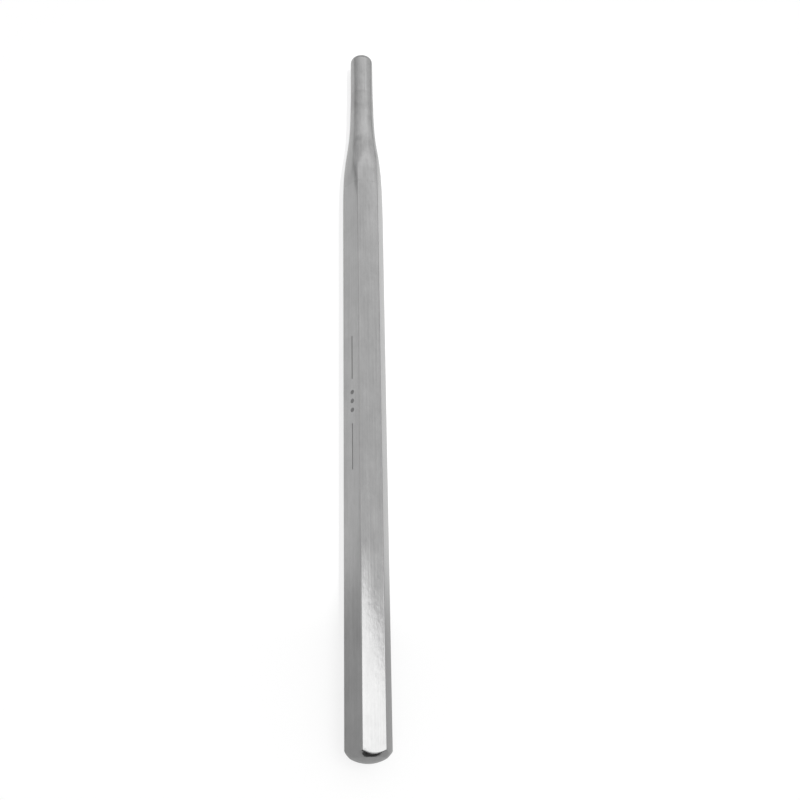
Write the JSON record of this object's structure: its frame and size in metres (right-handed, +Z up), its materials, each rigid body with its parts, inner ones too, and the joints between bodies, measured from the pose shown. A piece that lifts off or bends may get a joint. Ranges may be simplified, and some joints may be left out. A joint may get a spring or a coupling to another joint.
{
  "type": "mouth mirror handle",
  "caption": "Hollow hexagonal steel handle for a dental mouth mirror, with a flared nose, a slim threaded tip for the mirror's stem and a domed closed back end.",
  "frame": {"origin": "on the surface the handle lies on, under the middle of its box: half way along its length and under its axis", "axes": "+Y along the handle's axis towards the threaded tip, +Z up out of the flat opposite the one it lies on, +X across two corners of the hexagon"},
  "size_m": [0.0074, 0.13, 0.0066],
  "materials": {
    "tube_steel": "satin, fine lengthwise grain",
    "nose_steel": "satin, fine turning marks blended into lengthwise grain",
    "socket_steel": "satin, fine turning marks",
    "plug_steel": "ground and polished dome"
  },
  "bodies": {
    "root": {"handle_tube": "tube_steel", "nose_cone": "nose_steel", "threaded_socket": "socket_steel", "end_plug": "plug_steel"}
  },
  "joints": []
}
